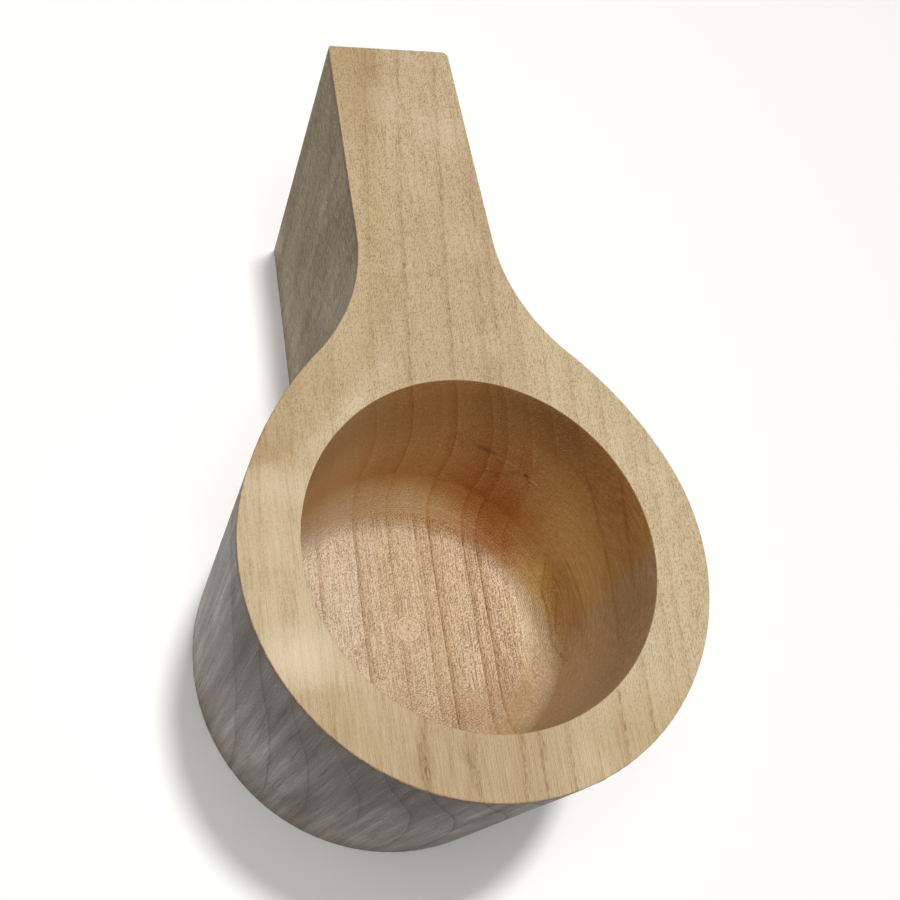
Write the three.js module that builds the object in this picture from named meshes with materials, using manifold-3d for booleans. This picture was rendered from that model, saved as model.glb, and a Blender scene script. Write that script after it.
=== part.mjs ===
// A kuksa carving blank: a round bored bowl and a straight handle of full height, sawn from one block of
// hardwood and not yet carved, with a small round plug set flush in the middle of the bowl's floor.
// Millimetres, +Z up. The origin is on the axis of the bore, in the plane of the base, and the handle
// points along +X.

import * as THREE from 'three';
import { mergeVertices } from 'three/addons/utils/BufferGeometryUtils.js';
import Module from 'manifold-3d';

// Bowl
const BORE_DIAMETER = 70;
const BORE_DEPTH = 53.2;
const BORE_FILLET = 8.8;
const WALL_THICKNESS = 11.3;
const FLOOR_THICKNESS = 19;
const BOWL_SETBACK = 0.5;

// Flank, the flatter stretch that leaves the round of the bowl, and neck, the hollow that meets the handle
const FLANK_START = THREE.MathUtils.degToRad(68);
const FLANK_RADIUS = 73;
const NECK_RADIUS = 40.4;

// Handle
const HANDLE_LENGTH = 72.95;
const HANDLE_END_WIDTH = 28;
const HANDLE_TAPER = THREE.MathUtils.degToRad(1.1);

// Saw cut across the end of the handle, out of square in plan and leaning in towards the base
const END_SKEW = THREE.MathUtils.degToRad(3.5);
const END_LEAN = THREE.MathUtils.degToRad(2);

// Floor plug and its blind hole
const PLUG_DIAMETER = 6.2;
const PLUG_LENGTH = 8;
const PLUG_CLEARANCE = 0.3;

// Facets on the round faces
const FACET_TURN = THREE.MathUtils.degToRad(3);
const FILLET_STEPS = 6;
const PLUG_SIDES = 48;

// Derived sizes
const boreRadius = BORE_DIAMETER / 2;
const bowlRadius = boreRadius + WALL_THICKNESS;
const blockHeight = FLOOR_THICKNESS + BORE_DEPTH;
const handleReach = bowlRadius - BOWL_SETBACK + HANDLE_LENGTH;
const plugRadius = PLUG_DIAMETER / 2;
const plugSeat = FLOOR_THICKNESS - PLUG_LENGTH;

const wasm = await Module();
wasm.setup();

// A closed geometry as a solid, with shared corners merged and collapsed triangles left out
function solidOf(geometry) {
  geometry.deleteAttribute('normal');
  geometry.deleteAttribute('uv');
  const merged = mergeVertices(geometry);
  const corners = merged.index.array;
  const triVerts = [];
  for (let i = 0; i < corners.length; i += 3) {
    const [a, b, c] = corners.slice(i, i + 3);
    if (a !== b && b !== c && c !== a) triVerts.push(a, b, c);
  }
  const vertProperties = merged.attributes.position.array;
  return new wasm.Manifold(new wasm.Mesh({ numProp: 3, vertProperties, triVerts: Uint32Array.from(triVerts) }));
}

function geometryOf(solid) {
  const { vertProperties, triVerts } = solid.getMesh();
  const geometry = new THREE.BufferGeometry();
  geometry.setAttribute('position', new THREE.BufferAttribute(vertProperties, 3));
  geometry.setIndex(new THREE.BufferAttribute(triVerts, 1));
  geometry.computeVertexNormals();
  return geometry;
}

// Points along a round stretch, none of whose facets turns by more than FACET_TURN
function arcPoints(centre, radius, start, end) {
  const clockwise = end < start;
  const curve = new THREE.EllipseCurve(centre.x, centre.y, radius, radius, start, end, clockwise);
  return curve.getPoints(Math.ceil(Math.abs(end - start) / FACET_TURN));
}

// The plan outline on the +Y side runs from the sawn end along the handle, round the hollow neck, up the
// flank and round the bowl to its back. Each stretch is tangent to the next.
function halfOutline() {
  const sideNormal = new THREE.Vector2(Math.sin(HANDLE_TAPER), Math.cos(HANDLE_TAPER));
  const sideAlong = new THREE.Vector2(sideNormal.y, -sideNormal.x);
  const sideEnd = new THREE.Vector2(handleReach, HANDLE_END_WIDTH / 2);

  const bowlCentre = new THREE.Vector2(-BOWL_SETBACK, 0);
  const flankCentre = new THREE.Vector2(Math.cos(FLANK_START), Math.sin(FLANK_START))
    .multiplyScalar(bowlRadius - FLANK_RADIUS)
    .add(bowlCentre);

  // The neck's centre lies one neck radius outside the handle's side and outside the flank
  const besideEnd = sideEnd.clone().addScaledVector(sideNormal, NECK_RADIUS);
  const fromFlank = besideEnd.clone().sub(flankCentre);
  const along = fromFlank.dot(sideAlong);
  const reach = FLANK_RADIUS + NECK_RADIUS;
  const run = Math.sqrt(along ** 2 - fromFlank.lengthSq() + reach ** 2) - along;
  const neckCentre = besideEnd.addScaledVector(sideAlong, run);

  const flankEnd = neckCentre.clone().sub(flankCentre).angle();
  const neckStart = sideNormal.angle() + Math.PI;
  const stockEnd = sideEnd.clone().addScaledVector(sideAlong, HANDLE_END_WIDTH);
  return [
    stockEnd,
    ...arcPoints(neckCentre, NECK_RADIUS, neckStart, flankEnd + Math.PI),
    ...arcPoints(flankCentre, FLANK_RADIUS, flankEnd, FLANK_START).slice(1),
    ...arcPoints(bowlCentre, bowlRadius, FLANK_START, Math.PI).slice(1),
  ];
}

// The block sawn to its outline, with the handle still one width too long
function sawnBlock() {
  const half = halfOutline();
  const mirrored = half.slice(0, -1).reverse().map((p) => new THREE.Vector2(p.x, -p.y));
  const outline = new THREE.Shape([...half, ...mirrored]);
  return solidOf(new THREE.ExtrudeGeometry(outline, { depth: blockHeight, bevelEnabled: false }));
}

// What the saw takes off the end of the handle
function endOffcut() {
  const side = 3 * blockHeight;
  const offcut = new THREE.BoxGeometry(side, side, side);
  offcut.translate(side / 2, 0, 0);
  offcut.rotateY(END_LEAN);
  offcut.rotateZ(END_SKEW);
  offcut.translate(handleReach, 0, blockHeight);
  return solidOf(offcut);
}

// What the boring cutter takes out of the bowl, standing one wall thickness proud of the rim
function boreCut() {
  const filletCentre = new THREE.Vector2(boreRadius - BORE_FILLET, FLOOR_THICKNESS + BORE_FILLET);
  const fillet = new THREE.EllipseCurve(
    filletCentre.x, filletCentre.y, BORE_FILLET, BORE_FILLET, -Math.PI / 2, 0,
  );
  const top = blockHeight + WALL_THICKNESS;
  const profile = [
    new THREE.Vector2(0, FLOOR_THICKNESS),
    ...fillet.getPoints(FILLET_STEPS),
    new THREE.Vector2(boreRadius, top),
    new THREE.Vector2(0, top),
  ];
  const sides = Math.ceil((2 * Math.PI) / FACET_TURN);
  return solidOf(new THREE.LatheGeometry(profile, sides).rotateX(Math.PI / 2));
}

// A round upright rod standing on z
function rod(radius, length, z) {
  return new THREE.CylinderGeometry(radius, radius, length, PLUG_SIDES)
    .rotateX(Math.PI / 2)
    .translate(0, 0, z + length / 2);
}

function blankBody() {
  const plugHole = solidOf(rod(plugRadius + PLUG_CLEARANCE, PLUG_LENGTH + BORE_FILLET, plugSeat));
  const solid = sawnBlock().subtract(endOffcut()).subtract(boreCut()).subtract(plugHole);
  const wood = new THREE.MeshStandardMaterial({ color: 0xcdaf82, roughness: 0.75, metalness: 0 });
  const mesh = new THREE.Mesh(geometryOf(solid), wood);
  mesh.name = 'blank_body';
  return mesh;
}

function floorPlug() {
  const wood = new THREE.MeshStandardMaterial({ color: 0xcdb092, roughness: 0.7, metalness: 0 });
  const mesh = new THREE.Mesh(rod(plugRadius, PLUG_LENGTH, 0), wood);
  mesh.position.z = plugSeat;
  mesh.name = 'floor_plug';
  return mesh;
}

const kuksa = new THREE.Group();
kuksa.name = 'kuksa_blank';
kuksa.add(blankBody(), floorPlug());

export default kuksa;
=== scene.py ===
# %% [markdown]
# # A kuksa carving blank in raw hardwood
# A kuksa is a drinking cup carved from one piece of wood. This one is still a blank: the bowl is bored,
# the outline is sawn and the top is planed, and all the rounding with the knife is yet to come. The lesson
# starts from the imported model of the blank, which fixes every size, and gives it its looks.

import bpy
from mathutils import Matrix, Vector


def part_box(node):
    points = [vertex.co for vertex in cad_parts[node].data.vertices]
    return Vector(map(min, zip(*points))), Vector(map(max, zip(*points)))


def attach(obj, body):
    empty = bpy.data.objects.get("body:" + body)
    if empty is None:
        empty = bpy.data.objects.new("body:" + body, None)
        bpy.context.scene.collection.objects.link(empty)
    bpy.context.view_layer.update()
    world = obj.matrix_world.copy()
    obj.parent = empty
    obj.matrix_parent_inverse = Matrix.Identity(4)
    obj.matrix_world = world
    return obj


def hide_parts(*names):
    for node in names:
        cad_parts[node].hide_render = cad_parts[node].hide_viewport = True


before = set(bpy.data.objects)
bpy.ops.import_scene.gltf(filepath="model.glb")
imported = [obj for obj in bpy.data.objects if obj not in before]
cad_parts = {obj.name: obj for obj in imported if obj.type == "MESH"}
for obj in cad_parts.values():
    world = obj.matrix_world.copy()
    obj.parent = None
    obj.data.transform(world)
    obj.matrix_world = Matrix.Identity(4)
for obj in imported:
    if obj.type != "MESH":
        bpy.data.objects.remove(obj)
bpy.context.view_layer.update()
print("nodes in the frame:", sorted(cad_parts))

# %% Blender's own modules and the unit
import math
from types import SimpleNamespace

import bmesh
import bpy
from mathutils import Euler, Vector

MM = 0.001

# %% [markdown]
# ## Camera
# The blank lies on a table and is seen from above, over the back of the bowl and a little from the side, so
# that the handle points away. A camera this near shows strong perspective, which the lens has to share: the
# base of the bowl looks much smaller than its rim. Its place is measured from the axis of the bowl.

# %% Camera
CAMERA_PLACE = Vector((-63.3, 78.2, 250.9)) * MM
CAMERA_TURN = Euler([math.radians(angle) for angle in (23.761, -17.985, -100.499)])
CAMERA_LENS = 44.11
CAMERA_SENSOR = 36
CAMERA_SHIFT_UP = 0.0672

bpy.ops.object.camera_add(location=CAMERA_PLACE, rotation=CAMERA_TURN)
camera = bpy.context.object
camera.name = "camera"
camera.data.lens = CAMERA_LENS
camera.data.sensor_width = CAMERA_SENSOR
camera.data.shift_y = CAMERA_SHIFT_UP
camera.data.clip_start = 1 * MM
bpy.context.scene.camera = camera
print("camera stands", round(CAMERA_PLACE.length / MM), "mm from the middle of the base")

# %% [markdown]
# ## Working by selection
# Every operator acts on what is selected, so each step first picks its corners, edges or faces in code, by
# where they lie. One helper does this for the whole lesson. A second one leaves edit mode tidily.

# %% Selection helpers
MERGE_DISTANCE = 0.001 * MM


def pick(piece, kind, test):
    """Selects, in edit mode, only the corners, edges or faces that pass a test. Returns how many."""
    bpy.ops.mesh.select_mode(type=kind)
    bpy.ops.mesh.select_all(action="DESELECT")
    mesh = bmesh.from_edit_mesh(piece.data)
    mesh.normal_update()
    items = {"VERT": mesh.verts, "EDGE": mesh.edges, "FACE": mesh.faces}[kind]
    chosen = [item for item in items if test(item)]
    for item in chosen:
        item.select_set(True)
    mesh.select_flush_mode()
    bmesh.update_edit_mesh(piece.data)
    return len(chosen)


def settle(piece):
    """Merges doubled corners, turns every face outwards and goes back to object mode."""
    bpy.ops.mesh.select_all(action="SELECT")
    bpy.ops.mesh.remove_doubles(threshold=MERGE_DISTANCE)
    bpy.ops.mesh.normals_make_consistent(inside=False)
    bpy.ops.object.mode_set(mode="OBJECT")
    print(piece.name, "has", len(piece.data.vertices), "corners and", len(piece.data.polygons), "faces")


# %% [markdown]
# ## Sizes of the blank
# The frame gives the heights, the back of the bowl and the seat of the plug. The arcs of the outline can't
# be read from a box, so they are written down once: the round of the bowl runs into a flatter flank, the
# flank into a hollow neck, and the neck into the straight side of the handle, each tangent to the next.

# %% Sizes
body_low, body_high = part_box("blank_body")
plug_low, plug_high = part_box("floor_plug")
rim_level = body_high.z
floor_level = plug_high.z
block_height = body_high.z - body_low.z

BORE_RADIUS = 35 * MM
BORE_FILLET = 8.8 * MM
BOWL_SETBACK = 0.5 * MM
FLANK_START = math.radians(68)
FLANK_RADIUS = 73 * MM
NECK_RADIUS = 40.4 * MM
HANDLE_REACH = 118.75 * MM
HANDLE_END_WIDTH = 28 * MM
HANDLE_TAPER = math.radians(1.1)
END_SKEW = math.radians(3.5)
END_LEAN = math.radians(2)

bowl_radius = -BOWL_SETBACK - body_low.x
print("bowl radius", round(bowl_radius / MM, 2), "mm, block height", round(block_height / MM, 2), "mm")

# %% Centres of the arcs
bowl_centre = Vector((-BOWL_SETBACK, 0))
flank_out = Vector((math.cos(FLANK_START), math.sin(FLANK_START)))
flank_centre = bowl_centre + flank_out * (bowl_radius - FLANK_RADIUS)
side_normal = Vector((math.sin(HANDLE_TAPER), math.cos(HANDLE_TAPER)))
side_along = Vector((side_normal.y, -side_normal.x))
side_end = Vector((HANDLE_REACH, HANDLE_END_WIDTH / 2))

# The neck's centre lies one neck radius outside the handle's side and outside the flank
beside_end = side_end + side_normal * NECK_RADIUS
from_flank = beside_end - flank_centre
along = from_flank.dot(side_along)
arc_reach = FLANK_RADIUS + NECK_RADIUS
run = math.sqrt(along ** 2 - from_flank.length_squared + arc_reach ** 2) - along
neck_centre = beside_end + side_along * run
flank_to_neck = neck_centre - flank_centre
flank_end = math.atan2(flank_to_neck.y, flank_to_neck.x)
neck_sweep = math.pi / 2 - HANDLE_TAPER - flank_end
print("flank ends at", round(math.degrees(flank_end), 1), "degrees")

# %% [markdown]
# ## Outline of the block
# The outline could be typed in as points, but it is made of arcs, so it is drawn as by hand: a circle for
# the bowl keeps only its back, on one side, and its end is spun round the flank's centre and then round the
# neck's. The handle's side is extruded straight on. A mirror then makes the other half.

# %% Half outline
SAW_STEP = 0.8 * MM
BOWL_STEPS = 360
END_PANEL = 6 * MM


def arc_steps(radius, sweep):
    return math.ceil(radius * sweep / SAW_STEP)


def spin_corner(centre, sweep, radius):
    """Spins the picked corner about an upright axis, clockwise from above for a positive sweep."""
    middle = (centre.x, centre.y, rim_level)
    bpy.ops.mesh.spin(steps=arc_steps(radius, abs(sweep)), angle=sweep, center=middle, axis=(0, 0, 1))


bpy.ops.object.select_all(action="DESELECT")
bowl_place = (bowl_centre.x, bowl_centre.y, rim_level)
bpy.ops.mesh.primitive_circle_add(vertices=BOWL_STEPS, radius=bowl_radius, location=bowl_place)
body = bpy.context.object
body.name = "blank"
bpy.ops.object.transform_apply(location=True)
bpy.ops.object.mode_set(mode="EDIT")


def bowl_angle(corner):
    return math.atan2(corner.co.y, corner.co.x - bowl_centre.x)


ANGLE_SLACK = math.radians(0.2)


def off_the_back(corner):
    """True for corners before the flank's start or on the other half."""
    before_flank = abs(bowl_angle(corner)) <= FLANK_START - ANGLE_SLACK
    return before_flank or corner.co.y < -ANGLE_SLACK * bowl_radius


pick(body, "VERT", off_the_back)
bpy.ops.mesh.delete(type="VERT")
pick(body, "VERT", lambda v: abs(bowl_angle(v) - FLANK_START) < ANGLE_SLACK)
spin_corner(flank_centre, FLANK_START - flank_end, FLANK_RADIUS)
spin_corner(neck_centre, -neck_sweep, NECK_RADIUS)
mesh = bmesh.from_edit_mesh(body.data)
neck_foot = next(v.co.copy() for v in mesh.verts if v.select)
to_end = Vector((side_end.x - neck_foot.x, side_end.y - neck_foot.y, 0))
to_last = to_end * (1 - END_PANEL / to_end.length)
bpy.ops.mesh.extrude_region_move(TRANSFORM_OT_translate={"value": to_last})
bpy.ops.mesh.extrude_region_move(TRANSFORM_OT_translate={"value": to_end - to_last})
pick(body, "EDGE", lambda e: e.calc_length() > to_end.length / 2)
bpy.ops.mesh.subdivide(number_cuts=math.ceil(to_last.length / SAW_STEP))
bpy.ops.object.mode_set(mode="OBJECT")
print("the neck meets the handle's side at", [round(c / MM, 2) for c in neck_foot])

# %% Both halves and the sawn end
END_EDGE_RADII = {1: 0.7 * MM, -1: 1.5 * MM}
END_EDGE_SEGMENTS = 6
END_SLACK = 0.01 * MM

mirror = body.modifiers.new("other_half", "MIRROR")
mirror.use_axis = (False, True, False)
mirror.use_mirror_merge = True
mirror.merge_threshold = END_SLACK
bpy.ops.object.modifier_apply(modifier=mirror.name)
bpy.ops.object.mode_set(mode="EDIT")
pick(body, "VERT", lambda v: v.co.x > HANDLE_REACH - END_SLACK)
bpy.ops.mesh.edge_face_add()
for side in (1, -1):
    pick(body, "VERT", lambda v: v.co.x > neck_foot.x and v.co.y * side > 0)
    skewed = 1 - side * math.tan(END_SKEW) * HANDLE_END_WIDTH / 2 / to_end.x
    bpy.ops.transform.resize(value=(skewed, 1, 1), center_override=neck_foot)
for side, end_radius in END_EDGE_RADII.items():
    pick(body, "VERT", lambda v: v.co.x > HANDLE_REACH - END_PANEL / 2 and v.co.y * side > 0)
    bpy.ops.mesh.bevel(offset=end_radius, segments=END_EDGE_SEGMENTS, affect="VERTICES")
bpy.ops.object.mode_set(mode="OBJECT")
print("outline of", len(body.data.vertices), "corners and", len(body.data.edges), "edges")

# %% [markdown]
# ## Walls of the block
# A bandsaw cuts upright sides, so the outline is extruded down to the base in one go. The saw cut across
# the end of the handle leans in, so the handle is drawn in a little along its base.

# %% Walls and base
bpy.ops.object.mode_set(mode="EDIT")
bpy.ops.mesh.select_all(action="SELECT")
bpy.ops.mesh.extrude_region_move(TRANSFORM_OT_translate={"value": (0, 0, -block_height)})
bpy.ops.mesh.edge_face_add()
shortened = 1 - math.tan(END_LEAN) * block_height / to_end.x
pick(body, "VERT", lambda v: v.co.x > neck_foot.x and v.co.z < rim_level / 2)
bpy.ops.transform.resize(value=(shortened, 1, 1), center_override=neck_foot)
print("block of", len(bmesh.from_edit_mesh(body.data).faces), "faces")

# %% [markdown]
# ## Top face and bore
# The top is one flat face with a round hole. Blender fills the space between two loops of edges, and a
# narrow inset then lays a clean band along both, which the edges need for their rounding later. The bore
# goes on from its loop as a cup is modelled by hand: extrude down, scale in, and again.

# %% Top face
BORE_STEPS = 240
EDGE_BAND = 0.5 * MM
LEVEL_SLACK = 0.01 * MM


def level(corner):
    return abs(corner.co.z - rim_level) < LEVEL_SLACK


bpy.ops.mesh.select_all(action="DESELECT")
bpy.ops.mesh.primitive_circle_add(vertices=BORE_STEPS, radius=BORE_RADIUS, location=(0, 0, rim_level))
pick(body, "EDGE", lambda e: all(level(v) for v in e.verts))
bpy.ops.mesh.fill(use_beauty=True)
bpy.ops.mesh.inset(thickness=EDGE_BAND, depth=0)
print("with its top, the block has", len(bmesh.from_edit_mesh(body.data).faces), "faces")

# %% [markdown]
# The boring cutter leaves rings: low cusps between its passes, close together in the round corner between
# wall and floor and fading out towards the middle. They are real geometry, a few hundredths of a millimetre
# high. The profile is worked out as points along the wall, the corner and the floor.

# %% Profile of the bore
CUTTER_PITCH = 0.9 * MM
CUSP_HEIGHT = 0.05 * MM
CUSP_REACH = 15 * MM
CUSP_SHARE = 0.35
PLUG_HOLE_RADIUS = 3.13 * MM
PLUG_SEAT = plug_low.z
corner_length = BORE_FILLET * math.pi / 2
wall_foot = floor_level + BORE_FILLET


def bore_point(travel, lift):
    """Radius and height at a distance along the profile from the wall's foot, lifted off the surface."""
    angle = min(travel / BORE_FILLET, math.pi / 2)
    beyond = max(travel - corner_length, 0)
    reach = BORE_FILLET - lift
    radius = BORE_RADIUS - BORE_FILLET + reach * math.cos(angle) - beyond
    return radius, wall_foot - reach * math.sin(angle)


bore_profile = [(BORE_RADIUS, rim_level - EDGE_BAND), (BORE_RADIUS, wall_foot)]
passes = math.ceil((corner_length + CUSP_REACH) / CUTTER_PITCH)
for index in range(1, passes):
    lift = CUSP_HEIGHT * (1 - index / passes)
    bore_profile.append(bore_point((index - CUSP_SHARE) * CUTTER_PITCH, 0))
    bore_profile.append(bore_point(index * CUTTER_PITCH, lift))
    bore_profile.append(bore_point((index + CUSP_SHARE) * CUTTER_PITCH, 0))
bore_profile.append((PLUG_HOLE_RADIUS + EDGE_BAND, floor_level))
bore_profile.append((PLUG_HOLE_RADIUS, floor_level))
bore_profile.append((PLUG_HOLE_RADIUS, PLUG_SEAT))
print("bore profile of", len(bore_profile), "points with", passes, "cutter passes")


# %% Bore and plug hole
def in_bore_rim(edge):
    return all(level(v) and abs(v.co.to_2d().length - BORE_RADIUS) < LEVEL_SLACK for v in edge.verts)


pick(body, "EDGE", in_bore_rim)
radius, height = BORE_RADIUS, rim_level
for next_radius, next_height in bore_profile:
    drop = (0, 0, next_height - height)
    bpy.ops.mesh.extrude_region_move(TRANSFORM_OT_translate={"value": drop})
    draw_in = next_radius / radius
    bpy.ops.transform.resize(value=(draw_in, draw_in, 1), center_override=(0, 0, 0))
    radius, height = next_radius, next_height
bpy.ops.mesh.edge_face_add()
settle(body)

# %% [markdown]
# ## Edges
# No edge on wood is truly sharp. The upright edges of the sawn end have been handled most and are rounder,
# the others are only just broken. The inset bands keep each rounding even along the whole edge.

# %% Round the edges
EDGE_RADIUS = 0.3 * MM
MOUTH_RADIUS = 0.12 * MM
EDGE_SEGMENTS = 3
SHARP = math.radians(50)
FACING = 0.9


def in_plug_hole(edge):
    reach = PLUG_HOLE_RADIUS + LEVEL_SLACK
    return all(v.co.z > LEVEL_SLACK and v.co.to_2d().length < reach for v in edge.verts)


bpy.ops.object.mode_set(mode="EDIT")
pick(body, "FACE", lambda f: f.normal.z < -FACING and f.calc_center_median().z < LEVEL_SLACK)
bpy.ops.mesh.inset(thickness=EDGE_BAND, depth=0)
pick(body, "EDGE", in_bore_rim)
bpy.ops.mesh.bevel(offset=MOUTH_RADIUS, segments=EDGE_SEGMENTS, affect="EDGES")
pick(body, "EDGE", lambda e: e.calc_face_angle(0) > SHARP and not in_plug_hole(e))
bpy.ops.mesh.bevel(offset=EDGE_RADIUS, segments=EDGE_SEGMENTS, affect="EDGES")
settle(body)

# %% [markdown]
# ## Saw marks
# A bandsaw leaves a wall of fine upright ridges where the blade wandered. The sides are already made of
# narrow upright strips, so it is enough to nudge the ends of the strips in and out by a few hundredths of a
# millimetre. Smooth shading then turns the strips into low ridges.

# %% Saw marks
SAW_WANDER = 0.035 * MM
SAW_SEED = 11


def ends_a_strip(corner):
    outside = corner.co.to_2d().length > BORE_RADIUS + EDGE_RADIUS
    depth = min(rim_level - corner.co.z, corner.co.z - body_low.z)
    return outside and EDGE_RADIUS / 2 < depth < EDGE_RADIUS * 2


bpy.ops.object.mode_set(mode="EDIT")
strip_ends = pick(body, "VERT", ends_a_strip)
bpy.ops.transform.vertex_random(offset=SAW_WANDER, uniform=0, normal=1, seed=SAW_SEED)
settle(body)
print("saw marks on", strip_ends, "ends of strips")

# %% Smooth shading on the body
SMOOTH_ANGLE = math.radians(30)
bpy.ops.object.select_all(action="DESELECT")
body.select_set(True)
bpy.context.view_layer.objects.active = body
bpy.ops.object.shade_smooth_by_angle(angle=SMOOTH_ANGLE)

# %% [markdown]
# ## Plug
# A short round plug closes the hole that the cutter's point left in the floor. It is a dowel cut flush, so
# a cylinder is the right start: its rim is broken, and its middle keeps the prick of the centre point.

# %% Plug
PLUG_GAP = 0.03 * MM
PLUG_SIDES = 96
PLUG_EDGE = 0.05 * MM
PRICK_RADIUS = 0.2 * MM
PRICK_DEPTH = 0.2 * MM

plug_radius = PLUG_HOLE_RADIUS - PLUG_GAP
plug_length = plug_high.z - plug_low.z
bpy.ops.object.select_all(action="DESELECT")
plug_middle = (0, 0, plug_low.z + plug_length / 2)
bpy.ops.mesh.primitive_cylinder_add(
    vertices=PLUG_SIDES, radius=plug_radius, depth=plug_length, location=plug_middle
)
plug = bpy.context.object
plug.name = "plug"
bpy.ops.object.transform_apply(location=True)
bpy.ops.object.mode_set(mode="EDIT")
pick(plug, "EDGE", lambda e: all(abs(v.co.z - plug_high.z) < LEVEL_SLACK for v in e.verts))
bpy.ops.mesh.bevel(offset=PLUG_EDGE, segments=EDGE_SEGMENTS, affect="EDGES")
pick(plug, "FACE", lambda f: f.normal.z > FACING and f.calc_area() > PRICK_RADIUS ** 2)
bpy.ops.mesh.inset(thickness=plug_radius - PLUG_EDGE - PRICK_RADIUS, depth=0)
bpy.ops.mesh.inset(thickness=PRICK_RADIUS / 2, depth=-PRICK_DEPTH)
settle(plug)
bpy.ops.object.shade_smooth_by_angle(angle=SMOOTH_ANGLE)

# %% [markdown]
# ## Writing finishes as sums
# A finish is a tree of nodes, but it reads best as a sum. A wire stands for one socket, and adding or
# multiplying wires adds the Math nodes. Every other node comes from one method, which sets the node's own
# settings first and then its sockets. The same class serves the sky, which is a tree of nodes too.

# %% Wires and finishes
class Wire:
    """One socket of a finish. Operators on it add Math nodes."""

    def __init__(self, finish, socket):
        self.finish = finish
        self.socket = socket

    def math(self, operation, *terms):
        return self.finish.node("ShaderNodeMath", {"operation": operation}, dict(enumerate(terms)))

    def __add__(self, other):
        return self.math("ADD", self, other)

    def __radd__(self, other):
        return self.math("ADD", other, self)

    def __sub__(self, other):
        return self.math("SUBTRACT", self, other)

    def __rsub__(self, other):
        return self.math("SUBTRACT", other, self)

    def __mul__(self, other):
        return self.math("MULTIPLY", self, other)

    def __rmul__(self, other):
        return self.math("MULTIPLY", other, self)

    def __truediv__(self, other):
        return self.math("DIVIDE", self, other)

    def __pow__(self, other):
        return self.math("POWER", self, other)

    def __abs__(self):
        return self.math("ABSOLUTE", self)


class Finish:
    """A tree of nodes being made for a material or a world."""

    def __init__(self, owner):
        owner.use_nodes = True
        self.owner = owner
        self.tree = owner.node_tree
        self.tree.nodes.clear()

    def node(self, kind, settings=None, sockets=None, output=0):
        """Adds a node, then its settings, then its sockets' values or links. Returns one output, if any."""
        made = self.tree.nodes.new(kind)
        for name, value in (settings or {}).items():
            setattr(made, name, value)
        for name, value in (sockets or {}).items():
            socket = made.inputs[name]
            if isinstance(value, Wire):
                self.tree.links.new(value.socket, socket)
            else:
                socket.default_value = value
        return Wire(self, made.outputs[output]) if made.outputs else None


# %% [markdown]
# ## Words for finishes
# A few short functions name what the finishes below keep asking for: a soft step, a fade, a ramp, a mix
# of two colours, a colour made deeper or paler, and noise whose marks have a size in millimetres along
# each axis.

# %% Finish helpers
def srgb(red, green, blue):
    """A colour as it looks on a screen, from 0 to 255, as the linear colour that a shader wants."""
    linear = [((c / 255 + 0.055) / 1.055) ** 2.4 if c > 10 else c / 255 / 12.92 for c in (red, green, blue)]
    return (*linear, 1)


def soft_step(wire, low, high):
    """0 below low, 1 above high, and smooth between."""
    sockets = {"Value": wire, "From Min": low, "From Max": high}
    return wire.finish.node("ShaderNodeMapRange", {"interpolation_type": "SMOOTHSTEP"}, sockets)


def fade(wire, reach):
    """1 at zero, falling away over a reach."""
    return wire.math("EXPONENT", wire * (-1 / reach))


def ramp(wire, stops, between="LINEAR"):
    """Grey values at places from 0 to 1."""
    made = wire.finish.node("ShaderNodeValToRGB", None, {0: wire})
    greys = made.socket.node.color_ramp
    greys.interpolation = between
    greys.elements.remove(greys.elements[-1])
    for index, (place, grey) in enumerate(stops):
        stop = greys.elements[0] if index == 0 else greys.elements.new(place)
        stop.position = place
        stop.color = (grey, grey, grey, 1)
    return made


def blend(mask, under, over):
    """The colour under where the mask is 0, and over where it is 1."""
    sockets = {0: mask, 6: under, 7: over}
    return mask.finish.node("ShaderNodeMix", {"data_type": "RGBA"}, sockets, output=2)


def deepen(colour, darkness):
    """A colour made deeper where the darkness is above 0 and paler where it is below, as wood darkens."""
    return darkness.finish.node("ShaderNodeGamma", None, {"Color": colour, "Gamma": 1 + darkness})


def brighten(colour, factor):
    """A colour times a grey factor."""
    return factor.finish.node("ShaderNodeVectorMath", {"operation": "SCALE"}, {0: colour, "Scale": factor})


def marks(place, size, detail=2.0, rough=0.5, twist=0.0):
    """Noise around 0, mostly within half of 1 either way, with marks of a size in millimetres."""
    finish = place.finish
    scaled = finish.node("ShaderNodeVectorMath", {"operation": "DIVIDE"}, {0: place, 1: size})
    sockets = {"Vector": scaled, "Scale": 1.0, "Detail": detail, "Roughness": rough, "Distortion": twist}
    return finish.node("ShaderNodeTexNoise", {"noise_dimensions": "3D"}, sockets) - 0.5


def relief(place, size, twist=0.0):
    """Noise less the same noise a little to one side, which looks like low relief lit from that side."""
    step = [length / 2 for length in size]
    moved = place.finish.node("ShaderNodeVectorMath", {"operation": "ADD"}, {0: place, 1: step})
    return marks(place, size, 0, twist=twist) - marks(moved, size, 0, twist=twist)


def apart(place, centre, size):
    """Distance from a point, counted in a size along each axis."""
    finish = place.finish
    offset = finish.node("ShaderNodeVectorMath", {"operation": "SUBTRACT"}, {0: place, 1: centre})
    scaled = finish.node("ShaderNodeVectorMath", {"operation": "DIVIDE"}, {0: offset, 1: size})
    return finish.node("ShaderNodeVectorMath", {"operation": "LENGTH"}, {0: scaled}, output="Value")


def nearness(place, centre, size):
    """1 at a point, falling to 0 at a distance given along each axis in millimetres."""
    return 1 - soft_step(apart(place, centre, size), 0, 1)


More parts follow.
